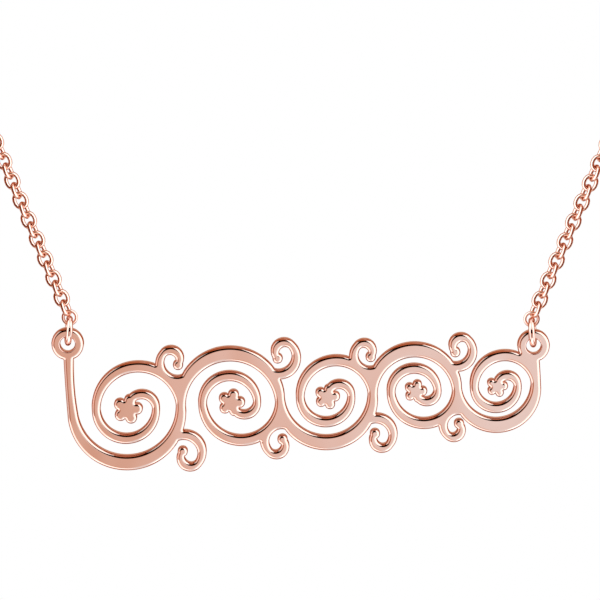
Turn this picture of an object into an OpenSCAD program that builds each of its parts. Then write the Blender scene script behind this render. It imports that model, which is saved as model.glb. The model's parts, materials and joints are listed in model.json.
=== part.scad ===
// A necklace: a pierced scrollwork plate with an ear at each upper end, held
// by two jump rings in the end links of a cable chain, which closes behind
// the neck with a ring clasp. The plate faces -Y, +Z is up, and the origin is
// where the clasp lies on the nape. Millimetres.

/* [Plate] */
// Distance between the centres of the two ears
ear_span = 46.7; // [44:0.1:54]
// Thickness of the sheet that the plate is cut from
plate_t = 1.2; // [0.9:0.05:1.3]
// Outer radius of an ear
ear_r = 1.63; // [1.5:0.01:1.7]
// Radius of the hole in an ear
ear_hole_r = 0.73; // [0.68:0.01:0.8]
// Drop from the left ear to the line that the scrolls turn on
left_drop = 7; // [6.5:0.1:7.5]
// Drop from the right ear to the same line
right_drop = 3.9; // [3.5:0.1:4.5]
// Width of the main stem where two scrolls meet
stem_w = 1.05; // [0.95:0.05:1.2]
// Extra width of the main stem in the middle of each bend
stem_swell = 0.5; // [0.2:0.05:0.6]
// Width of a scroll where it leaves the stem
scroll_w = 1; // [0.9:0.05:1.15]
// Extra width of a scroll in the middle of each bend
scroll_swell = 0.2; // [0:0.05:0.3]
// Width of a curl where it leaves the stem
curl_w = 0.9; // [0.8:0.05:1.05]
// Width of a scroll or a curl at its inner end
tip_w = 0.72; // [0.65:0.01:0.8]
// Radius of the round drop that ends a curl
drop_r = 0.52; // [0.45:0.01:0.6]
// Petals of the rosette that ends a scroll
petals = 5; // [5:1:7]

/* [Rings and clasp] */
// Wire of a jump ring at an ear
ring_wire = 0.64; // [0.5:0.02:0.7]
// Inner radius of a jump ring at an ear
ring_in_r = 0.9; // [0.88:0.01:1]
// Lean of the jump rings towards the middle, in degrees
ring_lean = 4.6; // [0:0.2:8]
// Turn of the jump rings about the vertical, in degrees
ring_turn = 6; // [0:0.5:8]
// Wire of the round end link
end_wire = 0.31; // [0.26:0.01:0.34]
// Inner radius of the round end link
end_in_r = 0.51; // [0.46:0.01:0.56]
// Wire of the clasp's ring
clasp_wire = 1; // [0.8:0.05:1.2]
// Inner radius of the clasp's ring
clasp_in_r = 1.75; // [1.6:0.05:2]
// Inner radius of the clasp's eye
eye_in_r = 0.6; // [0.55:0.01:0.7]
// Wire of the clasp's eye and of the two rings beside it
loop_wire = 0.55; // [0.45:0.01:0.6]
// Inner radius of the two rings beside the clasp
loop_in_r = 0.95; // [0.9:0.01:1.1]

/* [Chain] */
// Outer width of the chain
chain_w = 1.47; // [1.2:0.01:1.8]

/* [Hidden] */

// Clearance between pieces that hang in each other
seat_gap = 0.06;
// Gap between the chain's end and the ring that it hangs in
chain_gap = 0.15;
// Overlap where the clasp's eye is soldered to its ring
solder = 0.4;
// Where the plate's ears are, below and in front of the nape
ear_z = -116.3;
plate_y = -95;
curve_fn = 48;
wire_fn = 24;

// Colours
rose_gold = [0.88, 0.68, 0.61];
chain_gold = [0.80, 0.56, 0.47];

// Points that the right chain passes, from its end link to the nape
chain_route = [
    [31, -93.5, -95],
    [39, -90, -76.5],
    [47, -83.5, -58],
    [53.5, -73, -40.5],
    [56, -56, -26],
    [52, -36, -14],
    [40, -17, -6],
    [22, -3.5, -1.5]
];
// Sides of the chain's tube, and its rings from one point to the next
tube_sides = 8;
tube_steps = 4;

// Scrolls from left to right along the line: share of the line's length that
// the stem's half turn takes, the three half turns of the scroll as shares of
// the stem's radius, and the reach of its rosette as a share of it too
SPAN = 0;
WINDS = [1, 2, 3];
ROSETTE = 4;
scrolls = [
    [0.234, 0.78, 0.55, 0.26, 0.28],
    [0.214, 0.78, 0.55, 0.26, 0.28],
    [0.200, 0.78, 0.55, 0.26, 0.28],
    [0.182, 0.78, 0.55, 0.26, 0.28],
    [0.170, 0.78, 0.55, 0.26, 0.28]
];

// Curls on the outer side of the stem, a row for each scroll: degrees from the
// line, and radius as a share of the stem's. A curl on the far half looks back
AT = 0;
CURL = 1;
CURL_TURNS = [1, 0.55];
curls = [
    [[41, 0.33]],
    [[140, 0.34], [40, 0.35]],
    [[139, 0.36], [41, 0.36]],
    [[138, 0.37], [41, 0.38]],
    [[138, 0.38]]
];

// A rosette's petal and boss, as shares of its reach
petal_share = 0.4;
boss_share = 0.5;

// Straight pieces of a stroke's bend, and how many more for each mm of radius
bend_steps = 8;
steps_per_mm = 3;

line_l = sqrt(pow(ear_span, 2) - pow(left_drop - right_drop, 2));
line_tilt = asin((left_drop - right_drop) / ear_span);
function span_before(i) = i == 0 ? 0 : span_before(i - 1) + scrolls[i - 1][SPAN];
function stem_r(i) = scrolls[i][SPAN] * line_l / 2;
function joint_x(i) = span_before(i) * line_l;

// A stroke is a list of stations, each a point on its middle line, the way to
// its left side and its width there
function bend(centre, r, from, to, start_w, end_w, swell) = let (steps = ceil(bend_steps + steps_per_mm * r))
    [for (k = [0 : steps])
        let (u = k / steps, a = from + (to - from) * u, out = [cos(a), sin(a)])
        [centre + r * out, (from < to ? -1 : 1) * out, start_w + (end_w - start_w) * u + swell * sin(180 * u)]];
function right_side(stroke) = [for (s = stroke) s[0] - s[1] * s[2] / 2];
function left_side(stroke) =
    [for (k = [len(stroke) - 1 : -1 : 0]) stroke[k][0] + stroke[k][1] * stroke[k][2] / 2];
function joined(bends) = [for (b = [0 : len(bends) - 1], k = [b == 0 ? 0 : 1 : len(bends[b]) - 1]) bends[b][k]];

module stroke(bends) {
    stations = joined(bends);
    polygon(concat(right_side(stations), left_side(stations)));
}

// A spiral that starts upwards at the origin and curls to -X, with one half
// turn for each radius in the list
function coil_x(radii, i) = i == 0 ? 0 : coil_x(radii, i - 1) + (i % 2 == 1 ? -2 : 2) * radii[i - 1];
function coil(radii, start_w, end_w, swell) = let (step_w = (start_w - end_w) / len(radii))
    [for (i = [0 : len(radii) - 1])
        let (even = i % 2 == 0, centre = [coil_x(radii, i) + (even ? -1 : 1) * radii[i], 0], w = start_w - i * step_w)
        bend(centre, radii[i], even ? 0 : 180, even ? 180 : 360, w, w - step_w, swell)];

// A small flower of round petals about a round boss
module rosette(reach) {
    petal_r = reach * petal_share;
    circle(r = reach * boss_share, $fn = curve_fn);
    for (k = [0 : petals - 1])
        rotate(k * 360 / petals) translate([reach - petal_r, 0]) circle(r = petal_r, $fn = curve_fn);
}

// What stands on the line, turned over for every other scroll, because the
// stem waves under and over the line
module on_side(i) {
    if (i % 2 == 0) children();
    else mirror([0, 1]) children();
}

// The stem runs down from the left ear, waves along the line and runs up to
// the right ear
module stem_2d() {
    last = len(scrolls);
    stroke(concat(
        [[[[0, left_drop], [1, 0], stem_w], [[0, 0], [1, 0], stem_w]]],
        [for (i = [0 : last - 1])
            bend([joint_x(i) + stem_r(i), 0], stem_r(i), 180, i % 2 == 0 ? 360 : 0, stem_w, stem_w, stem_swell)],
        [[[[line_l, 0], [-1, 0], stem_w], [[line_l, right_drop], [-1, 0], stem_w]]]
    ));
}

module scrolls_2d() {
    for (i = [0 : len(scrolls) - 1])
        translate([joint_x(i + 1), 0]) on_side(i) {
            radii = [for (k = WINDS) scrolls[i][k] * stem_r(i)];
            stroke(coil(radii, scroll_w, tip_w, scroll_swell));
            translate([coil_x(radii, len(radii)), 0]) rosette(scrolls[i][ROSETTE] * stem_r(i));
        }
}

module curl(radii) {
    stroke(coil(radii, curl_w, tip_w, scroll_swell));
    translate([coil_x(radii, len(radii)), 0]) circle(r = drop_r, $fn = curve_fn);
}

module curls_2d() {
    for (i = [0 : len(curls) - 1], c = curls[i]) {
        r = stem_r(i);
        radii = [for (share = CURL_TURNS) share * c[CURL] * r];
        translate([joint_x(i) + r, 0]) on_side(i) rotate(-c[AT]) translate([r, 0])
            if (c[AT] > 90) rotate(180) curl(radii);
            else mirror([1, 0]) curl(radii);
    }
}

module plate_2d() {
    difference() {
        translate([-ear_span / 2, 0]) {
            rotate(line_tilt) translate([0, -left_drop]) {
                stem_2d();
                scrolls_2d();
                curls_2d();
            }
            circle(r = ear_r, $fn = curve_fn);
            translate([ear_span, 0]) circle(r = ear_r, $fn = curve_fn);
        }
        for (s = [-1, 1])
            translate([s * ear_span / 2, 0]) circle(r = ear_hole_r, $fn = curve_fn);
    }
}

module scroll_plate() {
    color(rose_gold) translate([0, plate_y, ear_z]) rotate([90, 0, 0])
        linear_extrude(plate_t, center = true) plate_2d();
}

// A jump ring hangs on edge through the ear: the hole's two rims rest on the
// ring's inner circle
ring_rise = ear_hole_r + sqrt(pow(ring_in_r - seat_gap, 2) - pow(plate_t / 2, 2));
end_rise = ring_rise + ring_in_r + end_in_r - seat_gap;
function above_ear(s, rise) =
    [s * (ear_span / 2 - rise * sin(ring_lean)), plate_y, ear_z + rise * cos(ring_lean)];

module ring(in_r, wire) {
    rotate_extrude($fn = curve_fn) translate([in_r + wire / 2, 0]) circle(d = wire, $fn = wire_fn);
}

module jump_ring(s) {
    color(rose_gold) translate(above_ear(s, ring_rise))
        rotate([0, -s * ring_lean, -s * ring_turn]) rotate([0, 90, 0]) ring(ring_in_r, ring_wire);
}

module end_link(s) {
    color(chain_gold) translate(above_ear(s, end_rise)) rotate([90, 0, 0]) ring(end_in_r, end_wire);
}

// The clasp's ring lies flat on the nape, with its eye to the left, and a
// small ring on edge through each of them takes the chain
eye_off = clasp_in_r + clasp_wire + eye_in_r + loop_wire - solder;
left_ring_off = eye_off + eye_in_r + loop_in_r - seat_gap;
right_ring_off = clasp_in_r + loop_in_r - seat_gap;
clasp_x = (left_ring_off - right_ring_off) / 2;
nape_y = clasp_wire / 2;

module clasp() {
    color(rose_gold) translate([clasp_x, nape_y, 0]) rotate([90, 0, 0]) {
        ring(clasp_in_r, clasp_wire);
        translate([-eye_off, 0]) ring(eye_in_r, loop_wire);
    }
}

function clasp_ring_x(s) = clasp_x + (s < 0 ? -left_ring_off : right_ring_off);

module clasp_ring(s) {
    color(rose_gold) translate([clasp_ring_x(s), nape_y, 0]) ring(loop_in_r, loop_wire);
}

// The chain is a tube along a smooth curve through its points
function unit(v) = v / norm(v);
function towards(a, b, d) = a + unit(b - a) * d;
function on_curve(a, b, c, d, u) =
    (2 * b + (c - a) * u + (2 * a - 5 * b + 4 * c - d) * u * u + (3 * b - a - 3 * c + d) * u * u * u) / 2;
function smooth(p, steps) = let (last = len(p) - 1) concat(
    [for (i = [0 : last - 1], k = [0 : steps - 1])
        on_curve(i == 0 ? 2 * p[0] - p[1] : p[i - 1], p[i], p[i + 1],
            i == last - 1 ? 2 * p[last] - p[last - 1] : p[i + 2], k / steps)],
    [p[last]]);

// Rings of points about the curve, each in the plane across it
function tube_points(c, r, sides) = [
    for (i = [0 : len(c) - 1])
        let (
            along = unit(c[min(i + 1, len(c) - 1)] - c[max(i - 1, 0)]),
            side = unit(cross(along, [0, 0, 1])),
            up = cross(side, along)
        )
        for (k = [0 : sides - 1])
            let (a = (k + 0.5) * 360 / sides) c[i] + r * (cos(a) * side + sin(a) * up)
];
function tube_faces(rings, sides) = concat(
    [[for (k = [0 : sides - 1]) k]],
    [for (i = [0 : rings - 2], k = [0 : sides - 1])
        let (a = i * sides + k, b = i * sides + (k + 1) % sides) [a, a + sides, b + sides, b]],
    [[for (k = [sides - 1 : -1 : 0]) (rings - 1) * sides + k]]);

module chain(s) {
    chosen = [for (p = chain_route) [s * p[0], p[1], p[2]]];
    start = towards(above_ear(s, end_rise), chosen[0], end_in_r + end_wire + chain_gap);
    finish = [clasp_ring_x(s) + s * (loop_in_r + loop_wire + chain_gap), nape_y, 0];
    curve = smooth(concat([start], chosen, [finish]), tube_steps);
    color(chain_gold) polyhedron(
        points = tube_points(curve, chain_w / 2, tube_sides),
        faces = tube_faces(len(curve), tube_sides),
        convexity = 6);
}

scroll_plate();
jump_ring(-1);  // left_jump_ring
jump_ring(1);  // right_jump_ring
end_link(-1);  // left_end_link
end_link(1);  // right_end_link
chain(-1);  // left_chain
chain(1);  // right_chain
clasp_ring(-1);  // left_clasp_ring
clasp_ring(1);  // right_clasp_ring
clasp();
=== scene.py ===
# %% [markdown]
# # A necklace with a pierced scrollwork plate
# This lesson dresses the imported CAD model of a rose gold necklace. The CAD
# holds the sizes and the one motion, a plate that swings in its two jump
# rings. Blender adds what the eye looks for: the rounded rim of the plate,
# real links in the chain, smooth wire, a clasp that could open, and a studio
# for the metal to reflect.

import json

import bmesh
import bpy
import numpy as np
from mathutils import Euler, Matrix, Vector
from mathutils.geometry import tessellate_polygon

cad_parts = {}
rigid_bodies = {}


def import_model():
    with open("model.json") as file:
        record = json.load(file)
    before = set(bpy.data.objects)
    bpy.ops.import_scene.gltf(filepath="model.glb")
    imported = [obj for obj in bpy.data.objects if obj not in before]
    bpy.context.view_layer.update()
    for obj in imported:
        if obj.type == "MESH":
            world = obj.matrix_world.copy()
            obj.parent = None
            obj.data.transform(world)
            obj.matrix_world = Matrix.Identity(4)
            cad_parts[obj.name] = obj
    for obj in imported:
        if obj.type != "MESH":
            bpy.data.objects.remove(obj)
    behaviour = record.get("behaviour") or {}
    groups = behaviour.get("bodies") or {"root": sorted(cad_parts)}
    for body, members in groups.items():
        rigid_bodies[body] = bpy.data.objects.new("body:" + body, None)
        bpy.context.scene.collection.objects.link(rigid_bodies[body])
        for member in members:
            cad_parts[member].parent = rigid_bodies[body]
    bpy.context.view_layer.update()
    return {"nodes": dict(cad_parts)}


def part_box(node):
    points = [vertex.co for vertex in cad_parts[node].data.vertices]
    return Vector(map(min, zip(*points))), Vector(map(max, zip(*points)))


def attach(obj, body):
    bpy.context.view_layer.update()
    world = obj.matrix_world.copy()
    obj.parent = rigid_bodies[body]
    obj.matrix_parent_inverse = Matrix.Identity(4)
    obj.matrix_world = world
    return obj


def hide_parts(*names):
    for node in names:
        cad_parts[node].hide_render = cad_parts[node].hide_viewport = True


MM = 0.001

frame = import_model()

# %% [markdown]
# ## Camera
# The photograph looks at the plate from some way off and from a little above
# it: the rims that face up look wider than the ones that face down, because
# their side wall shows too. A long lens half a metre away does the same. Its
# width of view is set in millimetres at the plate's face, because that is
# how the photograph was measured.

# %% Camera
VIEW_WIDTH = 60 * MM
VIEW_CENTRE = np.array([-0.075, 0, -111.7]) * MM
CAMERA_DISTANCE = 480 * MM
CAMERA_ELEVATION = np.radians(8.6)
CAMERA_ROLL = np.radians(0.21)
SENSOR = 36

plate_face_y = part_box("scroll_plate")[0].y
camera_data = bpy.data.cameras.new("camera")
camera_data.sensor_width = SENSOR
camera_data.lens = SENSOR * CAMERA_DISTANCE / VIEW_WIDTH
camera_data.clip_start = 10 * MM
camera = bpy.data.objects.new("camera", camera_data)
bpy.context.scene.collection.objects.link(camera)
camera.location = (VIEW_CENTRE[0], plate_face_y - CAMERA_DISTANCE * np.cos(CAMERA_ELEVATION),
                   VIEW_CENTRE[2] + CAMERA_DISTANCE * np.sin(CAMERA_ELEVATION))
facing = Euler((np.pi / 2 - CAMERA_ELEVATION, 0, 0)).to_matrix()
camera.rotation_euler = (facing @ Euler((0, 0, CAMERA_ROLL)).to_matrix()).to_euler()
bpy.context.scene.camera = camera
print("lens in mm:", round(camera_data.lens, 1))

# %% [markdown]
# ## From arrays to meshes
# Every new piece is a grid of points worked out with numpy. One helper turns
# such grids into faces: each point is joined to the next one along the row
# and to the row after it. A row always joins its end to its start, and the
# last row joins the first one where the piece is a ring. A second helper
# makes the object, smooth where the surface is smooth and sharp where two
# faces meet at a real edge. The directions to the right, to the back and
# upwards get names, and so do the two sides of the necklace.

# %% Grid faces and objects
SHARP_EDGE = np.radians(50)
SAME_POINT = 0.0002 * MM
RIGHT, BACK, UP = np.eye(3)
SIDES = ((-1, "left"), (1, "right"))


def grid_faces(rows, columns, close_rows=True):
    """Quads between neighbouring points of a grid numbered row by row. Each row is a closed loop."""
    i, j = np.meshgrid(np.arange(rows if close_rows else rows - 1), np.arange(columns), indexing="ij")
    i, j = i.ravel(), j.ravel()
    i_next, j_next = (i + 1) % rows, (j + 1) % columns
    return np.stack([i * columns + j, i_next * columns + j,
                     i_next * columns + j_next, i * columns + j_next], axis=1)


def make_object(name, points, faces, body, material, replaced=(), sharp_edge=SHARP_EDGE):
    """A mesh object of the given points in metres, riding on a CAD body, with the given material.

    Points nearer than SAME_POINT become one. Edges that turn more than sharp_edge stay sharp."""
    mesh = bpy.data.meshes.new(name)
    mesh.from_pydata(points.tolist(), [], faces if isinstance(faces, list) else faces.tolist())
    shape = bmesh.new()
    shape.from_mesh(mesh)
    bmesh.ops.remove_doubles(shape, verts=shape.verts, dist=SAME_POINT)
    bmesh.ops.dissolve_degenerate(shape, edges=shape.edges, dist=SAME_POINT)
    shape.to_mesh(mesh)
    shape.free()
    mesh.shade_smooth()
    mesh.set_sharp_from_angle(angle=sharp_edge)
    mesh.materials.append(material)
    piece = bpy.data.objects.new(name, mesh)
    bpy.context.scene.collection.objects.link(piece)
    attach(piece, body)
    if replaced:
        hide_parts(*replaced)
    mesh.calc_loop_triangles()
    print(name, "has", len(mesh.vertices), "points and", len(mesh.loop_triangles), "triangles")
    return piece


print("points nearer than", SAME_POINT / MM, "mm become one")

# %% [markdown]
# ## Rose gold
# The real metal is a thin rose gold plating, polished after the plate is
# cut. A flat pink colour would look like plastic, so the colour comes from a
# metallic shader that tints what it reflects. Slow noise shifts the colour
# and the gloss a little, as plating and polishing do. Polished sheet is
# never quite flat either, and a wide, very shallow bump gives the slow
# waves that move through its reflections. The chain is a little redder than
# the plate, and less smooth, because no wheel reaches into its links.

# %% Rose gold materials
PLATE_COLOURS = (0.725, 0.426, 0.340, 1), (0.765, 0.462, 0.378, 1)
CHAIN_COLOURS = (0.720, 0.365, 0.255, 1), (0.765, 0.410, 0.300, 1)


def add_node(tree, kind, inputs=None, **settings):
    """A node of a kind, with its settings, and values or links given for its inputs by name or number."""
    node = tree.nodes.new(kind)
    for name, value in settings.items():
        setattr(node, name, value)
    for name, value in (inputs or {}).items():
        if isinstance(value, bpy.types.NodeSocket):
            tree.links.new(value, node.inputs[name])
        else:
            node.inputs[name].default_value = value
    return node


def rose_gold(name, colours, cloud_size, gloss, wave_size, wave_depth):
    """Polished metal whose colour and roughness follow clouds of one size, with shallow waves of another."""
    material = bpy.data.materials.new(name)
    material.use_nodes = True
    tree = material.node_tree
    shader = tree.nodes["Principled BSDF"]
    shader.inputs["Metallic"].default_value = 1
    where = add_node(tree, "ShaderNodeTexCoord").outputs["Object"]
    clouds = add_node(tree, "ShaderNodeTexNoise",
                      {"Vector": where, "Scale": 1 / cloud_size, "Detail": 3, "Roughness": 0.55})
    colour = add_node(tree, "ShaderNodeMix", {"Factor": clouds.outputs["Fac"], 6: colours[0], 7: colours[1]},
                      data_type="RGBA")
    tree.links.new(colour.outputs[2], shader.inputs["Base Color"])
    smears = add_node(tree, "ShaderNodeTexNoise",
                      {"Vector": where, "Scale": 3 / cloud_size, "Detail": 4, "Roughness": 0.6})
    rough = add_node(tree, "ShaderNodeMapRange",
                     {"Value": smears.outputs["Fac"], "From Min": 0.3, "From Max": 0.7,
                      "To Min": gloss[0], "To Max": gloss[1]})
    tree.links.new(rough.outputs["Result"], shader.inputs["Roughness"])
    waves = add_node(tree, "ShaderNodeTexNoise",
                     {"Vector": where, "Scale": 1 / wave_size, "Detail": 1, "Roughness": 0.4})
    bump = add_node(tree, "ShaderNodeBump", {"Height": waves.outputs["Fac"], "Strength": 1.0,
                                             "Distance": wave_depth})
    tree.links.new(bump.outputs["Normal"], shader.inputs["Normal"])
    return material


plate_gold = rose_gold("plate_polish", PLATE_COLOURS, 9 * MM, (0.03, 0.06), 6 * MM, 0.065 * MM)
ring_gold = rose_gold("ring_polish", PLATE_COLOURS, 2 * MM, (0.05, 0.10), 1 * MM, 0.002 * MM)
chain_gold = rose_gold("chain_polish", CHAIN_COLOURS, 3 * MM, (0.05, 0.10), 1 * MM, 0.002 * MM)
print("materials:", [m.name for m in (plate_gold, ring_gold, chain_gold)])

# %% [markdown]
# ## The plate's outline
# The scrollwork is cut from sheet, so its face is flat and its outline is
# the whole design. The CAD node already has that outline, but as a fan of
# loose triangles with straight edges. The outline is found again as the
# edges that only one triangle of the front face uses, and put in order.
# Following each edge to the next takes one jump at a time, so the jumps are
# doubled: knowing where every point leads in one step gives two steps, then
# four, and so on.

# %% Find the outline of the plate's face


def face_outline(node):
    """Closed outlines of a node's front face, as arrays of (x, z), with the metal on the left of the path."""
    mesh = node.data
    points = np.empty(3 * len(mesh.vertices), np.float32)
    mesh.vertices.foreach_get("co", points)
    corners = np.empty(len(mesh.loops), np.int32)
    mesh.loops.foreach_get("vertex_index", corners)
    points = points.reshape(-1, 3).astype(float)
    same, number = np.unique(np.round(points / SAME_POINT), axis=0, return_inverse=True)
    triangles = number.ravel()[corners.reshape(-1, 3)]
    depth = same[:, 1] * SAME_POINT
    front = triangles[np.all(depth[triangles] < depth.min() + SAME_POINT * 10, axis=1)]
    edges = np.concatenate([front[:, [0, 1]], front[:, [1, 2]], front[:, [2, 0]]])
    _, first, uses = np.unique(np.sort(edges, axis=1), axis=0, return_index=True, return_counts=True)
    rim = edges[first[uses == 1]]
    following = np.arange(len(same))
    following[rim[:, 0]] = rim[:, 1]
    outlines = []
    left = set(rim[:, 0].tolist())
    while left:
        order, jump = np.array([min(left)]), following
        while len(order) < len(rim) + 1:
            order = np.concatenate([order, jump[order]])
            jump = jump[jump]
        order = order[:1 + np.flatnonzero(order[1:] == order[0])[0]]
        left -= set(order.tolist())
        outlines.append(same[order][:, [0, 2]] * SAME_POINT)
    return outlines


outlines = face_outline(frame["nodes"]["scroll_plate"])
print("outlines with", [len(line) for line in outlines], "points")

# %% [markdown]
# ## Very short edges
# Where two strokes of the drawing meet, the outline has a few edges so short
# that their direction means nothing, and a curve through them would wobble.
# Their ends are drawn together first. A closed line needs no special case at
# its start if "the next point" is found by rolling the whole array.

# %% Draw short edges together
SHORTEST_EDGE = 0.02 * MM


def ahead(values):
    """The values of the next point of a closed line."""
    return np.roll(values, -1, axis=0)


def without_short_edges(line):
    """The line with the ends of each very short edge drawn together into its middle."""
    short = np.linalg.norm(ahead(line) - line, axis=1) < SHORTEST_EDGE
    short &= ~np.roll(short, 1)
    line = np.where(short[:, None], (line + ahead(line)) / 2, line)
    return line[~np.roll(short, 1)]


cleaned = [without_short_edges(without_short_edges(line)) for line in outlines]
print("cleaned outlines with", [len(line) for line in cleaned], "points")

# %% [markdown]
# ## A smooth outline with crisp inner corners
# A cutter follows curves, and only where two strokes cross is there a sharp
# notch. So the outline is split at its notches, and a cubic curve is laid
# through the points between them. Each sample carries the direction into the
# metal. In a notch that direction swings round like a fan, which lets the
# rounded rim turn the corner as a polishing wheel leaves it.

# %% Smooth the outline
SAMPLE_STEP = 0.15 * MM
NOTCH_TURN = np.radians(20)
FAN_STEP = np.radians(15)


def signed_turn(from_heading, to_heading):
    """The turn from one heading to another, between minus and plus half a circle."""
    return (to_heading - from_heading + np.pi) % (2 * np.pi) - np.pi


def counted(counts):
    """For each count, that many steps: the number of the step's owner and its share of the way."""
    owner = np.repeat(np.arange(len(counts)), counts)
    step = np.arange(len(owner)) - np.repeat(np.cumsum(counts) - counts, counts)
    return owner, step / counts[owner]


def smooth_outline(line):
    """Samples of a closed outline and the unit direction into the metal at each.

    Between two points runs a cubic. Its slope at a point is the mean of the two chords' slopes there, each
    weighted by the other chord's length. At a notch the slope is found from its own side alone, and the
    samples there stay put while they turn."""
    step = ahead(line) - line
    length = np.linalg.norm(step, axis=1)[:, None]
    slope = step / length
    slope_before, length_before = np.roll(slope, 1, axis=0), np.roll(length, 1, axis=0)
    through = (slope_before * length + slope * length_before) / (length + length_before)
    heading = np.arctan2(slope[:, 1], slope[:, 0])
    notch = (np.abs(signed_turn(np.roll(heading, 1), heading)) > NOTCH_TURN)[:, None]
    notch_next = ahead(notch)
    leaving = np.where(notch, np.where(notch_next, slope, 2 * slope - ahead(through)), through)
    arriving = np.where(notch_next, np.where(notch, slope, 2 * slope - through), ahead(through))

    owner, u = counted(np.ceil(length[:, 0] / SAMPLE_STEP).astype(int))
    u = u[:, None]
    start, end = line[owner], ahead(line)[owner]
    start_run, end_run = (leaving * length)[owner], (arriving * length)[owner]
    place = (start * (1 + 2 * u) * (1 - u)**2 + start_run * u * (1 - u)**2
             + end * u**2 * (3 - 2 * u) + end_run * u**2 * (u - 1))
    run = (6 * u * (u - 1) * (start - end) + start_run * (1 - u) * (1 - 3 * u) + end_run * u * (3 * u - 2))
    heading = np.arctan2(run[:, 1], run[:, 0])
    # Keys put all samples in order: an edge's follow its first point, and a notch's come just before its own
    key = owner + 0.5 * u[:, 0]

    corner = np.flatnonzero(notch)
    heading_in = np.arctan2(arriving[corner - 1, 1], arriving[corner - 1, 0])
    heading_out = np.arctan2(leaving[corner, 1], leaving[corner, 0])
    turn = signed_turn(heading_in, heading_out)
    fan, share = counted(np.ceil(np.abs(turn) / FAN_STEP).astype(int))
    place = np.concatenate([place, line[corner[fan]]])
    heading = np.concatenate([heading, heading_in[fan] + turn[fan] * share])
    key = np.concatenate([key, corner[fan] - 0.4 * (1 - share)])
    order = np.argsort(key, kind="stable")
    inward = np.stack([-np.sin(heading), np.cos(heading)], axis=1)
    return place[order], inward[order]


smoothed = [smooth_outline(line) for line in cleaned]
print("smooth outlines with", [len(place) for place, inward in smoothed], "points")

# %% [markdown]
# ## The rim
# Seen closely, the flat face rolls over into the side in a soft rim a third
# of a millimetre wide, which catches a bright line and a dark one. A bevel
# modifier can't do this on an outline with thousands of short edges, so the
# rim's rings are laid one by one: the same outline is repeated, each time a
# little further in and nearer to the face, along a quarter of an ellipse. The
# back gets a smaller one.

# %% The rim's profile
RIM_WIDTH = 0.33 * MM
RIM_DEPTH = 0.34 * MM
RIM_STEPS = 9
BACK_RIM_WIDTH = 0.20 * MM
BACK_RIM_DEPTH = 0.20 * MM
BACK_RIM_STEPS = 5
FLAT_BORDER = 0.02 * MM


def rim_profile(width, depth, steps):
    """Quarter of an ellipse from the side to the face, as distances in from the side and down from the face,
    and one more point on the face, which keeps the face's shading flat."""
    angle = np.linspace(0, np.pi / 2, steps + 1)
    inset = np.append(width * (1 - np.cos(angle)), width + FLAT_BORDER)
    drop = np.append(depth * (1 - np.sin(angle)), 0)
    return inset, drop


plate_low, plate_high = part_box("scroll_plate")
front_inset, front_drop = rim_profile(RIM_WIDTH, RIM_DEPTH, RIM_STEPS)
back_inset, back_drop = rim_profile(BACK_RIM_WIDTH, BACK_RIM_DEPTH, BACK_RIM_STEPS)
inset = np.concatenate([front_inset[::-1], back_inset])
depth = np.concatenate([plate_low.y + front_drop[::-1], plate_high.y - back_drop])
print("profile of", len(inset), "points, plate thickness in mm:", round((plate_high.y - plate_low.y) / MM, 2))

# %% [markdown]
# ## The plate's sides
# The profile runs from the front face over the rim, down the side and over
# the back's rim, and every outline carries it round. Small holes, such as
# the two for the jump rings, get a narrow rim, because a wheel hardly
# reaches into them.

# %% The plate's sides
HOLE_RIM_SHARE = 0.45
HOLE_LARGEST = 3 * MM

plate_points, plate_faces = [], []
front_loops, back_loops = [], []
offset = 0
for place, inward in smoothed:
    rings, count = len(inset), len(place)
    share = HOLE_RIM_SHARE if np.ptp(place[:, 0]) < HOLE_LARGEST else 1
    grid = np.empty((rings, count, 3))
    grid[:, :, [0, 2]] = place + share * inset[:, None, None] * inward
    grid[:, :, 1] = depth[:, None]
    plate_points.append(grid.reshape(-1, 3))
    plate_faces.append(offset + grid_faces(rings, count, close_rows=False))
    front_loops.append(offset + np.arange(count))
    back_loops.append(offset + (rings - 1) * count + np.arange(count))
    offset += rings * count
plate_points = np.concatenate(plate_points)
plate_faces = np.concatenate(plate_faces).tolist()
print("sides with", len(plate_points), "points and", len(plate_faces), "faces")

# %% [markdown]
# ## The plate's faces
# Both faces are filled flat, between the outermost loops of the sides. The
# filler makes triangles that may look either way, so the sign of each one's
# area tells which to turn over.

# %% The plate's faces


def fill_flat(loops, turned):
    """Triangles that fill the area between closed loops in one plane. They look forwards, or backwards if
    turned."""
    corners = np.concatenate(loops)
    triangles = np.array(tessellate_polygon([plate_points[loop][:, [0, 2, 1]].tolist() for loop in loops]))
    triangles = corners[triangles]
    a, b, c = (plate_points[triangles[:, k]][:, [0, 2]] for k in range(3))
    area = (b - a)[:, 0] * (c - a)[:, 1] - (b - a)[:, 1] * (c - a)[:, 0]
    flip = (area < 0) != turned
    triangles[flip] = triangles[flip][:, ::-1]
    return triangles.tolist()


plate_faces += fill_flat(front_loops, False) + fill_flat(back_loops, True)
plate = make_object("scroll_plate_rounded", plate_points, plate_faces, "plate",
                    plate_gold, ["scroll_plate"])

# %% [markdown]
# ## Circles of wire
# Jump rings, end links, the rings at the clasp and the clasp itself are all
# bent wire, so one function serves them: small circles of wire set round a
# big circle, at any angles and of any sizes. A real jump ring is cut from a
# coil and closed, which leaves a fine line across the wire where its ends
# meet. The wire dips there by a few hundredths of its radius.

# %% Circles of wire
SEAM_HALF = np.radians(1.2)
SEAM_DIP = 0.06
SEAM_EDGES = SEAM_HALF * np.array([-1, -0.4, 0.4, 1])


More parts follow.
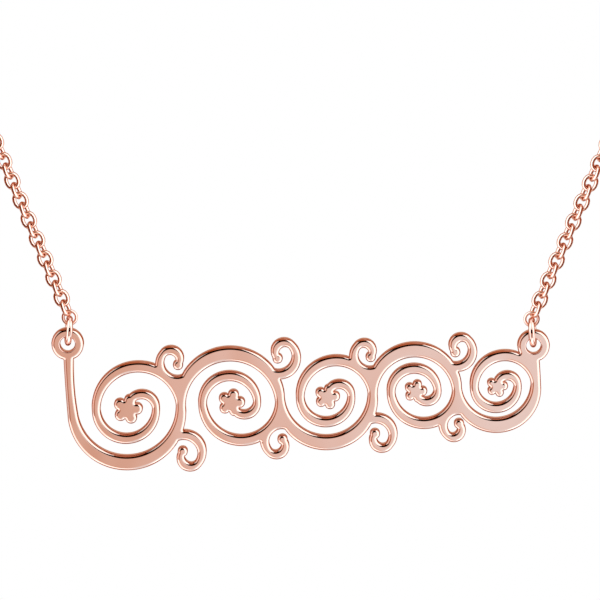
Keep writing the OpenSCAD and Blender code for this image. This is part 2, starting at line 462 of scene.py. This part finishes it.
def wire_circles(centre, across, up, middle_radius, radius, angles, about=20):
    """Circles of wire of the given radii, set at the given angles round a big circle.

    A point is centre + (R + r cos b)(across cos a + up sin a) + r sin b (across x up), where a is the
    circle's angle, r its radius, R the big circle's radius, and b goes round the wire."""
    b = np.linspace(0, 2 * np.pi, about, endpoint=False)
    out = np.cos(angles)[:, None] * across + np.sin(angles)[:, None] * up
    reach = middle_radius + radius[:, None] * np.cos(b)
    side = radius[:, None] * np.sin(b)
    return centre + reach[:, :, None] * out[:, None, :] + side[:, :, None] * np.cross(across, up)


def closed_ring(centre, across, up, inner_radius, wire, around=72, seam=None):
    """Points and faces of a closed ring of wire. A seam, an angle round it, is a thin place a degree wide."""
    angles = np.linspace(0, 2 * np.pi, around, endpoint=False)
    radius = np.full(around, wire / 2)
    if seam is not None:
        angles = np.sort(np.append(angles, seam + SEAM_EDGES))
        radius = np.where(np.abs(angles - seam) < SEAM_HALF / 2, wire / 2 * (1 - SEAM_DIP), wire / 2)
    grid = wire_circles(centre, across, up, inner_radius + wire / 2, radius, angles)
    return grid.reshape(-1, 3), grid_faces(*grid.shape[:2])


print("a seam dips by", SEAM_DIP, "of the wire's radius")

# %% [markdown]
# ## Rings
# Each ring stands at the middle of its CAD node, so its place needs no
# numbers here. The jump rings stand on edge, leaning and turned a little as
# they hang. The end links face the viewer, and the two rings at the clasp
# lie flat.

# %% Rings
RING_WIRE, RING_IN_R = 0.64 * MM, 0.9 * MM
END_WIRE, END_IN_R = 0.31 * MM, 0.51 * MM
LOOP_WIRE, LOOP_IN_R = 0.55 * MM, 0.95 * MM
RING_LEAN, RING_TURN = np.radians(4.6), np.radians(6)
RING_SEAM, LOOP_SEAM = np.radians(20), np.radians(250)


def middle_of(node):
    """The middle of a CAD node's box."""
    low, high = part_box(node)
    return np.array((low + high) / 2)


def ring(node, across, up, inner_radius, wire, material, seam=None):
    """A closed ring of wire in the place of a CAD node."""
    points, faces = closed_ring(middle_of(node), across, up, inner_radius, wire, seam=seam)
    make_object(node + "_wire", points, faces, "chain_and_rings", material, [node])


for side, side_name in SIDES:
    to_back = np.array([side * np.sin(RING_TURN), np.cos(RING_TURN), 0])
    to_top = np.array([-side * np.sin(RING_LEAN) * np.cos(RING_TURN), np.sin(RING_LEAN) * np.sin(RING_TURN),
                       np.cos(RING_LEAN)])
    ring(side_name + "_jump_ring", to_back, to_top, RING_IN_R, RING_WIRE, ring_gold,
         RING_SEAM)
    ring(side_name + "_end_link", RIGHT, UP, END_IN_R, END_WIRE, chain_gold)
    ring(side_name + "_clasp_ring", RIGHT, BACK, LOOP_IN_R, LOOP_WIRE, ring_gold,
         LOOP_SEAM)

# %% [markdown]
# ## The chain
# A fine cable chain is a row of oval links, each turned about a quarter
# from the one before, because a link can only hang in its neighbour that
# way. The chain's path is the one that the CAD tube follows. Along it the
# chain turns over slowly: its flat links face forwards at the plate and
# upwards behind the neck, as they lie on skin.

# %% The chain's path
CHAIN_ROUTE = np.array([
    [31, -93.5, -95],
    [39, -90, -76.5],
    [47, -83.5, -58],
    [53.5, -73, -40.5],
    [56, -56, -26],
    [52, -36, -14],
    [40, -17, -6],
    [22, -3.5, -1.5],
]) * MM
LINK_LENGTH = 1.88 * MM
LINK_WIDTH = 1.62 * MM
LINK_WIRE = 0.41 * MM
LINK_PITCH = LINK_LENGTH - 2 * LINK_WIRE
LINK_IN_HALF = LINK_LENGTH / 2 - LINK_WIRE
CURVE_STEPS = 60
TURNS_OVER_FROM, TURNS_OVER_WITHIN = 0.2, 0.6


def smooth_path(points, steps):
    """A curve through points: between two of them runs a cubic, which passes each point in parallel with the
    line from the point before it to the one after.

    Between b and c, with a before them and d after them, a share u of the way, it is half of
    2b + (c - a)u + (2a - 5b + 4c - d)u^2 + (3b - a - 3c + d)u^3."""
    before = np.vstack([2 * points[0] - points[1], points[:-2]])
    after = np.vstack([points[2:], 2 * points[-1] - points[-2]])
    a, b, c, d = (p[:, None] for p in (before, points[:-1], points[1:], after))
    u = np.linspace(0, 1, steps, endpoint=False)[None, :, None]
    curve = (2 * b + (c - a) * u + (2 * a - 5 * b + 4 * c - d) * u**2 + (3 * b - a - 3 * c + d) * u**3) / 2
    return np.vstack([curve.reshape(-1, 3), points[-1]])


def unit(vectors):
    """The vectors with their lengths made one."""
    return vectors / np.linalg.norm(vectors, axis=-1, keepdims=True)


def chain_frames(side, side_name):
    """Centres of the links, and their directions along the chain, across it and outwards.

    The path's length, shared out evenly, gives the centres. Outwards is forwards at first and tips a quarter
    turn to upwards, in a smooth step of the way along, less its part along the chain."""
    from_ring = middle_of(side_name + "_end_link")
    to_ring = middle_of(side_name + "_clasp_ring")
    route = CHAIN_ROUTE * [side, 1, 1]
    start = from_ring + unit(route[0] - from_ring) * (END_IN_R + LINK_IN_HALF)
    end = to_ring + side * RIGHT * (LOOP_IN_R + LINK_IN_HALF)
    curve = smooth_path(np.vstack([start, route, end]), CURVE_STEPS)
    run = np.append(0, np.cumsum(np.linalg.norm(np.diff(curve, axis=0), axis=1)))
    count = 2 * round(run[-1] / LINK_PITCH / 2) + 1
    at = np.linspace(0, run[-1], count)
    centre = np.stack([np.interp(at, run, curve[:, k]) for k in range(3)], axis=1)
    along = unit(np.gradient(centre, axis=0))
    way = np.clip((at / run[-1] - TURNS_OVER_FROM) / TURNS_OVER_WITHIN, 0, 1)
    tip = (np.pi / 2 * way**2 * (3 - 2 * way))[:, None]
    outward = -np.cos(tip) * BACK + np.sin(tip) * UP
    outward = unit(outward - np.sum(outward * along, axis=1, keepdims=True) * along)
    return centre, along, np.cross(outward, along), outward


chains = [chain_frames(side, side_name) for side, side_name in SIDES]
pitches = [np.linalg.norm(np.diff(frames[0], axis=0), axis=1).mean() for frames in chains]
print("links in each chain:", [len(frames[0]) for frames in chains])
print("pitch of each in mm:", np.round(np.array(pitches) / MM, 3).tolist())

# %% [markdown]
# ## One link
# One link is made once as a small array, then placed on hundreds of frames
# at the same time: a point of the link is so far along, so far across and
# so far out of its own flat. The wire has only six sides, and smooth shading
# makes it round.

# %% One link
LINK_SIDES = 16
LINK_ROUNDNESS = 2.2
WIRE_SIDES = 6
SLOPE_STEP = 0.01


def link_points():
    """One link as (along, across, out): a circle of wire carried round a rounded oval.

    The oval is half_length cos(a)^p by half_width sin(a)^p with their signs kept, and p is 2 / roundness."""
    a = np.linspace(0, 2 * np.pi, LINK_SIDES, endpoint=False) + np.pi / LINK_SIDES
    half_length, half_width = (LINK_LENGTH - LINK_WIRE) / 2, (LINK_WIDTH - LINK_WIRE) / 2

    def oval(angle):
        x = half_length * np.sign(np.cos(angle)) * np.abs(np.cos(angle))**(2 / LINK_ROUNDNESS)
        y = half_width * np.sign(np.sin(angle)) * np.abs(np.sin(angle))**(2 / LINK_ROUNDNESS)
        return np.stack([x, y], axis=1)

    middle = oval(a)
    run = unit(oval(a + SLOPE_STEP) - oval(a - SLOPE_STEP))
    away = np.stack([run[:, 1], -run[:, 0]], axis=1)
    b = np.linspace(0, 2 * np.pi, WIRE_SIDES, endpoint=False)
    flat = middle[:, None] + LINK_WIRE / 2 * np.cos(b)[None, :, None] * away[:, None]
    out = np.broadcast_to(LINK_WIRE / 2 * np.sin(b), flat.shape[:2])[..., None]
    return np.concatenate([flat, out], axis=2)


one_link = link_points().reshape(-1, 3)
one_link_faces = grid_faces(LINK_SIDES, WIRE_SIDES)
print("one link has", len(one_link), "points")

# %% [markdown]
# ## Hanging the links
# Every second link lies flat to the viewer. The others hang a little past a
# right angle to it, so both legs of their wire show in the photograph. No
# two links hang quite alike, so each gets a small tilt.

# %% Hang the links
EDGE_ON_EXTRA = np.radians(22)
LINK_TILT = np.radians(1.5)
random = np.random.default_rng(11)

for (side, side_name), (centre, along, across, outward) in zip(SIDES, chains):
    number = np.arange(len(centre))
    turn = np.where(number % 2 == 0, np.pi / 2 + side * EDGE_ON_EXTRA, 0)
    turn += random.normal(0, LINK_TILT, len(centre))
    turned_across = np.cos(turn)[:, None] * across + np.sin(turn)[:, None] * outward
    turned_out = np.cos(turn)[:, None] * outward - np.sin(turn)[:, None] * across
    axes = np.stack([along, turned_across, turned_out], axis=1)
    points = centre[:, None] + np.einsum("pk,nkc->npc", one_link, axes)
    faces = one_link_faces[None] + (number * len(one_link))[:, None, None]
    make_object(side_name + "_chain_links", points.reshape(-1, 3), faces.reshape(-1, 4), "chain_and_rings",
                chain_gold, [side_name + "_chain"], sharp_edge=np.pi)

# %% [markdown]
# ## Arcs of wire
# The clasp's tube and bolt are open arcs, and a cut end of polished wire is
# never square. A few more circles of wire, each smaller than the one before,
# round it off.

# %% Arcs with rounded ends
END_ROUNDING = 0.3
END_STEPS = 4


def rounded_arc(centre, inner_radius, wire, span, around, about=20):
    """Points and faces of an upright arc of wire, from one angle to another, with its ends rounded.

    Past each end, circles follow at END_ROUNDING of the wire's radius times the sine of their way to the tip,
    and they shrink by the same share times one minus the cosine of it. A flat face closes the tip."""
    middle_radius = inner_radius + wire / 2
    way = np.linspace(0, np.pi / 2, END_STEPS + 1)[1:]
    past_end = END_ROUNDING * wire / 2 * np.sin(way) / middle_radius
    shrunk = 1 - END_ROUNDING * (1 - np.cos(way))
    angles = np.concatenate([span[0] - past_end[::-1], np.linspace(*span, around), span[1] + past_end])
    radius = wire / 2 * np.concatenate([shrunk[::-1], np.ones(around), shrunk])
    points = wire_circles(centre, RIGHT, UP, middle_radius, radius, angles, about).reshape(-1, 3)
    faces = grid_faces(len(angles), about, close_rows=False).tolist()
    tip = list(range(about))
    return points, faces + [tip[::-1], [len(points) - about + k for k in tip]]


print("circles that round each end:", END_STEPS)

# %% [markdown]
# ## The clasp
# A spring ring clasp is a hollow ring with a gap. A thinner bolt slides out
# of the tube to close the gap, pushed by a spring inside and drawn back by a
# small thumb piece that runs in a slot. The CAD ring is closed and plain.
# Here it becomes the tube with its gap, the bolt that reaches into it at
# both ends, and the soldered eye.

# %% The clasp's tube, bolt and eye
CLASP_WIRE, CLASP_IN_R = 1.0 * MM, 1.75 * MM
EYE_IN_R = 0.6 * MM
BOLT_WIRE = 0.62 * MM
BOLT_IN_R = CLASP_IN_R + (CLASP_WIRE - BOLT_WIRE) / 2
BOLT_REACH_ANGLE = 0.15
GAP_FROM, GAP_TO = np.radians(42), np.radians(88)

clasp_low, clasp_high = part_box("clasp")
nape_y = (clasp_low.y + clasp_high.y) / 2
clasp_centre = np.array([clasp_high.x - CLASP_IN_R - CLASP_WIRE, nape_y, 0])
eye_centre = np.array([clasp_low.x + EYE_IN_R + LOOP_WIRE, nape_y, 0])
tube_span = GAP_TO, GAP_FROM + 2 * np.pi
bolt_span = GAP_FROM - BOLT_REACH_ANGLE, GAP_TO + BOLT_REACH_ANGLE


def clasp_piece(name, points, faces, replaced=()):
    """A piece of the clasp, in its body and material."""
    make_object(name, points, faces, "chain_and_rings", ring_gold, replaced)


clasp_piece("clasp_tube", *rounded_arc(clasp_centre, CLASP_IN_R, CLASP_WIRE, tube_span, 72), ["clasp"])
clasp_piece("clasp_bolt", *rounded_arc(clasp_centre, BOLT_IN_R, BOLT_WIRE, bolt_span, 16, 16))
clasp_piece("clasp_eye", *closed_ring(eye_centre, RIGHT, UP, EYE_IN_R, LOOP_WIRE, 48))

# %% [markdown]
# ## The thumb piece
# It is a tiny turned knob: a stem that stands in the tube's wall and a round
# head to pull on. A lathe makes such a shape from its profile, and so does a
# short formula.

# %% The thumb piece
THUMB_AT = np.radians(128)
THUMB_SIDES = 20
THUMB_PROFILE = np.array([[0, -0.30], [0.17, -0.30], [0.17, 0.16], [0.24, 0.21], [0.29, 0.29], [0.30, 0.38],
                          [0.26, 0.47], [0.17, 0.53], [0.08, 0.555], [0, 0.56]]) * MM


def turned_piece(foot, axis, profile, sides):
    """A surface of revolution: each profile point is so far from the axis, and so far along it."""
    angle = np.linspace(0, 2 * np.pi, sides, endpoint=False)[:, None]
    spokes = np.cos(angle) * np.cross(axis, BACK) + np.sin(angle) * BACK
    return foot + profile[:, 1][:, None, None] * axis + profile[:, 0][:, None, None] * spokes


thumb_axis = np.cos(THUMB_AT) * RIGHT + np.sin(THUMB_AT) * UP
thumb_foot = clasp_centre + (CLASP_IN_R + CLASP_WIRE) * thumb_axis
thumb_points = turned_piece(thumb_foot, thumb_axis, THUMB_PROFILE, THUMB_SIDES).reshape(-1, 3)
thumb_faces = grid_faces(len(THUMB_PROFILE), THUMB_SIDES, close_rows=False)
clasp_piece("clasp_thumb", thumb_points, thumb_faces)

# %% [markdown]
# ## The studio
# Metal shows what is around it, so the surroundings are part of its look.
# The photograph's metal is an even rose on the flat face, paler to the
# right, near black on rims that look up and brown at the very edge. So the
# world is white for the camera and for the floor, and for reflections it is
# a studio of cloths and cards. A brightness level runs from left to right,
# and each patch of the sphere of directions puts its own level over it. The
# bright lines along the rims and wires come from soft boxes further down.

# %% Cloths and cards of the studio
FRONT_FROM, FRONT_TO = -0.075, 0.095
LEFT_LEVEL, RIGHT_LEVEL = 0.365, 0.63
ANY = None
STUDIO_PATCHES = [
    # level, softness, then low and high of the direction's part to the right, to the back and upwards
    (0.20, 0.06, (-2, -0.27), ANY, ANY),  # brown cloth to the left
    (0.20, 0.06, (0.27, 2), ANY, ANY),  # and to the right
    (0.05, 0.10, (-2, -0.50), (-2, 0.5), (-0.70, -0.20)),  # dark stand, low left
    (0.05, 0.10, (0.50, 2), (-2, 0.5), (-0.70, -0.20)),  # and low right
    (0.00, 0.04, (-0.70, 0.30), (-2, 0.02), (0.02, 0.84)),  # black card over the camera
    (0.26, 0.05, (-0.40, 0.26), (-2, 0.2), (0.84, 2)),  # orange cloth overhead
    (0.58, 0.06, (-0.5, 0.5), (-0.70, -0.15), (-0.97, -0.70)),  # white card under the plate
    (0.22, 0.06, (-0.97, 0.97), (0.02, 2), (-2, 0.94)),  # brown cloth behind the plate
    (0.42, 0.03, ANY, (0.55, 2), (-0.62, -0.16)),  # pale card low behind it
    (0.31, 0.05, ANY, (0.82, 2), (0.06, 0.45)),  # rose card high behind it
]
print("patches:", len(STUDIO_PATCHES))

# %% [markdown]
# ## The level as nodes
# A world's texture coordinate is the direction that a ray leaves in, as a
# vector one long. Its parts to the right, to the back and upwards say where
# it points. Within a patch each part lies between two limits, and a smooth
# step at each limit, multiplied together, makes a soft-edged patch.

# %% The studio's level
world = bpy.data.worlds.new("studio")
bpy.context.scene.world = world
world.use_nodes = True
sky = world.node_tree
sky.nodes.clear()


def ramp_between(value, low, high, to_low, to_high):
    """The value's way from low to high, smoothed at both ends, as a number from to_low to to_high."""
    return add_node(sky, "ShaderNodeMapRange", {"Value": value, "From Min": low, "From Max": high,
                                                "To Min": to_low, "To Max": to_high},
                    interpolation_type="SMOOTHSTEP").outputs[0]


def mixed_level(factor, level, new_level):
    """The level where the factor is 0 and the new level where it is 1."""
    return add_node(sky, "ShaderNodeMix", {0: factor, 2: level, 3: new_level}, data_type="FLOAT").outputs[0]


def product(factors):
    """The product of several sockets."""
    result = factors[0]
    for factor in factors[1:]:
        result = add_node(sky, "ShaderNodeMath", {0: result, 1: factor}, operation="MULTIPLY").outputs[0]
    return result


direction = add_node(sky, "ShaderNodeTexCoord").outputs["Generated"]
parts = add_node(sky, "ShaderNodeSeparateXYZ", {0: direction}).outputs
level = ramp_between(parts[0], FRONT_FROM, FRONT_TO, LEFT_LEVEL, RIGHT_LEVEL)
for patch_level, soft, *ranges in STUDIO_PATCHES:
    edges = []
    for part, limits in zip(parts, ranges):
        if limits is not ANY:
            edges.append(ramp_between(part, limits[0] - soft, limits[0] + soft, 0, 1))
            edges.append(ramp_between(part, limits[1] - soft, limits[1] + soft, 1, 0))
    level = mixed_level(product(edges), level, patch_level)
print("level made with", len(sky.nodes), "nodes")

# %% [markdown]
# ## The level as colour
# A colour ramp turns the level into light: warm cloth in the dark, cool
# white in the light. A ramp holds no colour above one, so it holds a share
# of the light, and the background's strength brings it back. Only rays that
# a glossy surface sends out see the studio. All others see plain white.

# %% The studio's colours
STUDIO_STRENGTH = 3
STUDIO_RAMP = [
    (0.00, (0.000, 0.000, 0.000)),
    (0.12, (0.257, 0.052, 0.013)),
    (0.18, (0.400, 0.110, 0.035)),
    (0.25, (0.560, 0.200, 0.085)),
    (0.33, (0.760, 0.500, 0.360)),
    (0.40, (0.920, 0.830, 0.760)),
    (0.45, (1.000, 1.000, 1.000)),
    (0.60, (1.080, 1.350, 1.500)),
    (0.80, (1.300, 1.900, 2.200)),
    (1.00, (1.800, 2.700, 3.000)),
]

ramp = add_node(sky, "ShaderNodeValToRGB", {0: level})
while len(ramp.color_ramp.elements) < len(STUDIO_RAMP):
    ramp.color_ramp.elements.new(0.5)
for element, (position, colour) in zip(ramp.color_ramp.elements, STUDIO_RAMP):
    element.position = position
    element.color = (*(c / STUDIO_STRENGTH for c in colour), 1)
studio = add_node(sky, "ShaderNodeBackground", {"Color": ramp.outputs[0], "Strength": STUDIO_STRENGTH})
white = add_node(sky, "ShaderNodeBackground", {"Color": (1, 1, 1, 1), "Strength": 1})
is_glossy = add_node(sky, "ShaderNodeLightPath").outputs["Is Glossy Ray"]
mixed = add_node(sky, "ShaderNodeMixShader", {0: is_glossy, 1: white.outputs[0], 2: studio.outputs[0]})
add_node(sky, "ShaderNodeOutputWorld", {"Surface": mixed.outputs[0]})
print("studio world with", len(sky.nodes), "nodes")

# %% [markdown]
# ## Floor and soft light
# The object hangs by its chain, so the floor is a pale round table some way
# below it, out of the photograph's frame. One large lamp lights it evenly.
# The metal doesn't reflect the table, and the table shades no lamp below it,
# so that it changes nothing on the necklace. Colours are shown as they are,
# without a film look.

# %% Floor and lamp
FLOOR_RADIUS = 250 * MM
FLOOR_Z = -225 * MM
FLOOR_SIDES = 128
FLOOR_GREY = 0.88
LAMP_SIZE = 400 * MM
LAMP_WATTS = 1.5
LAMP_PLACE = np.array([-150, -350, 450]) * MM
LAMP_TIP, LAMP_TURN = np.radians(38), np.radians(-20)

angle = np.linspace(0, 2 * np.pi, FLOOR_SIDES, endpoint=False)[:, None]
disc = FLOOR_RADIUS * (np.cos(angle) * RIGHT + np.sin(angle) * BACK) + FLOOR_Z * UP
floor_mesh = bpy.data.meshes.new("floor")
floor_mesh.from_pydata(disc.tolist(), [], [list(range(FLOOR_SIDES))])
floor = bpy.data.objects.new("floor", floor_mesh)
bpy.context.scene.collection.objects.link(floor)
floor.visible_glossy = False
floor.visible_shadow = False
floor_paint = bpy.data.materials.new("floor_paint")
floor_paint.use_nodes = True
paint_inputs = floor_paint.node_tree.nodes["Principled BSDF"].inputs
paint_inputs["Base Color"].default_value = (FLOOR_GREY, FLOOR_GREY, FLOOR_GREY, 1)
paint_inputs["Roughness"].default_value = 0.7
floor_mesh.materials.append(floor_paint)

lamp_data = bpy.data.lights.new("soft_lamp", "AREA")
lamp_data.size = LAMP_SIZE
lamp_data.energy = LAMP_WATTS
lamp = bpy.data.objects.new("soft_lamp", lamp_data)
bpy.context.scene.collection.objects.link(lamp)
lamp.location = LAMP_PLACE
lamp.rotation_euler = (LAMP_TIP, 0, LAMP_TURN)
lamp.visible_glossy = False

scene = bpy.context.scene
scene.view_settings.view_transform = "Standard"
scene.view_settings.look = "None"
scene.view_settings.exposure = 0
scene.view_settings.gamma = 1
print("floor", FLOOR_RADIUS / MM, "mm round, at", FLOOR_Z / MM, "mm")

# %% [markdown]
# ## Soft boxes
# A polished rim or wire is a bent mirror, and a white panel at its side
# becomes a bright line along it. How wide the line is and where it runs
# depend on the range of directions that the panel fills. So each soft box is
# given by those directions, seen from the plate: degrees to the right of the
# viewer, and degrees up. A photographer moves the panels until each part
# reads well. Here light linking does that, and a box lights only the pieces
# named for it.

# %% A soft box
BOX_DISTANCE = 500 * MM
BOX_AIM = Vector((0, plate_face_y, VIEW_CENTRE[2] + 15 * MM))


def soft_box(name, pieces, azimuths, elevations, light):
    """A rectangle of light that fills a range of directions seen from the plate and lights some pieces only.

    Each side is twice the distance times the tangent of half its range, and its energy is its light times
    pi times its area, which makes its reflection as bright as the light."""
    azimuths, elevations = np.radians(azimuths), np.radians(elevations)
    data = bpy.data.lights.new(name, "AREA")
    data.shape = "RECTANGLE"
    data.size = 2 * BOX_DISTANCE * np.tan(np.ptp(azimuths) / 2)
    data.size_y = 2 * BOX_DISTANCE * np.tan(np.ptp(elevations) / 2)
    data.color = np.array(light) / max(light)
    data.energy = max(light) * np.pi * data.size * data.size_y
    box = bpy.data.objects.new(name, data)
    bpy.context.scene.collection.objects.link(box)
    towards = Euler((-elevations.mean(), 0, azimuths.mean())).to_matrix() @ Vector((0, -1, 0))
    box.location = BOX_AIM + BOX_DISTANCE * towards
    box.rotation_euler = towards.to_track_quat("Z", "Y").to_euler()
    box.visible_camera = False
    lit = bpy.data.collections.new(name + "_pieces")
    for piece in pieces:
        lit.objects.link(piece)
    box.light_linking.receiver_collection = lit


print("soft boxes stand", BOX_DISTANCE / MM, "mm away")

# %% [markdown]
# ## Placing the soft boxes
# The plate gets one box from the right and two weaker ones from the left,
# which line its rims with white on one side and pale rose on the other. The
# jump rings get one from each side, one from below and one from above. The
# two chains get mirrored boxes, as both run inwards, and the strong one in
# front makes their wire sparkle. The clasp lies at the back of the loop, so
# it has boxes of its own, two of them behind it.

# %% Soft boxes
COOL_WHITE = (1.55, 2.3, 2.6)
SOFT_WHITE = (1.1, 1.4, 1.55)
PALE_ROSE = (0.80, 0.95, 0.98)
CHAIN_SPARKLE = (1.50, 2.90, 4.00)
CHAIN_GLOW = (0.25, 0.18, 0.10)
CHAIN_SIDE = (0.80, 1.00, 1.00)
CHAIN_TOP = (0.50, 0.65, 0.62)


def pieces_named(*endings):
    """The objects whose names end in one of the given ways."""
    return [piece for piece in bpy.data.objects if piece.name.endswith(endings)]


jump_rings = pieces_named("_jump_ring_wire")
soft_box("plate_right_box", [plate], (18, 92), (-60, 60), COOL_WHITE)
soft_box("plate_left_box", [plate], (-95, -38), (-60, 50), PALE_ROSE)
soft_box("plate_left_low_box", [plate], (-75, -17), (-66, -18), SOFT_WHITE)
soft_box("ring_right_box", jump_rings, (42, 108), (-40, 60), COOL_WHITE)
soft_box("ring_left_box", jump_rings, (-108, -40), (-40, 60), COOL_WHITE)
soft_box("ring_low_box", jump_rings, (-35, 35), (-110, -35), SOFT_WHITE)
soft_box("ring_top_box", jump_rings, (-35, 35), (30, 125), SOFT_WHITE)
for side, side_name in SIDES:
    links = pieces_named(side_name + "_chain_links", side_name + "_end_link_wire")
    mirror = np.array([-side, -side])
    soft_box(side_name + "_chain_front_box", links, mirror * (8, 80), (-45, 70), CHAIN_SPARKLE)
    soft_box(side_name + "_chain_glow_box", links, mirror * (-16, 60), (-40, 65), CHAIN_GLOW)
    soft_box(side_name + "_chain_side_box", links, mirror * (60, 140), (-40, 50), CHAIN_SIDE)
    soft_box(side_name + "_chain_top_box", links, (-35, 35), (65, 125), CHAIN_TOP)
clasp_pieces = pieces_named("clasp_tube", "clasp_bolt", "clasp_eye", "clasp_thumb", "_clasp_ring_wire")
soft_box("nape_left_box", clasp_pieces, (120, 160), (-20, 50), SOFT_WHITE)
soft_box("nape_right_box", clasp_pieces, (200, 240), (-20, 50), SOFT_WHITE)
soft_box("clasp_right_box", clasp_pieces, (42, 80), (-20, 50), SOFT_WHITE)
soft_box("clasp_left_box", clasp_pieces, (-80, -42), (-20, 50), SOFT_WHITE)
soft_box("clasp_top_box", clasp_pieces, (-20, 20), (70, 110), PALE_ROSE)
print("soft boxes:", len(bpy.data.lights) - 1)
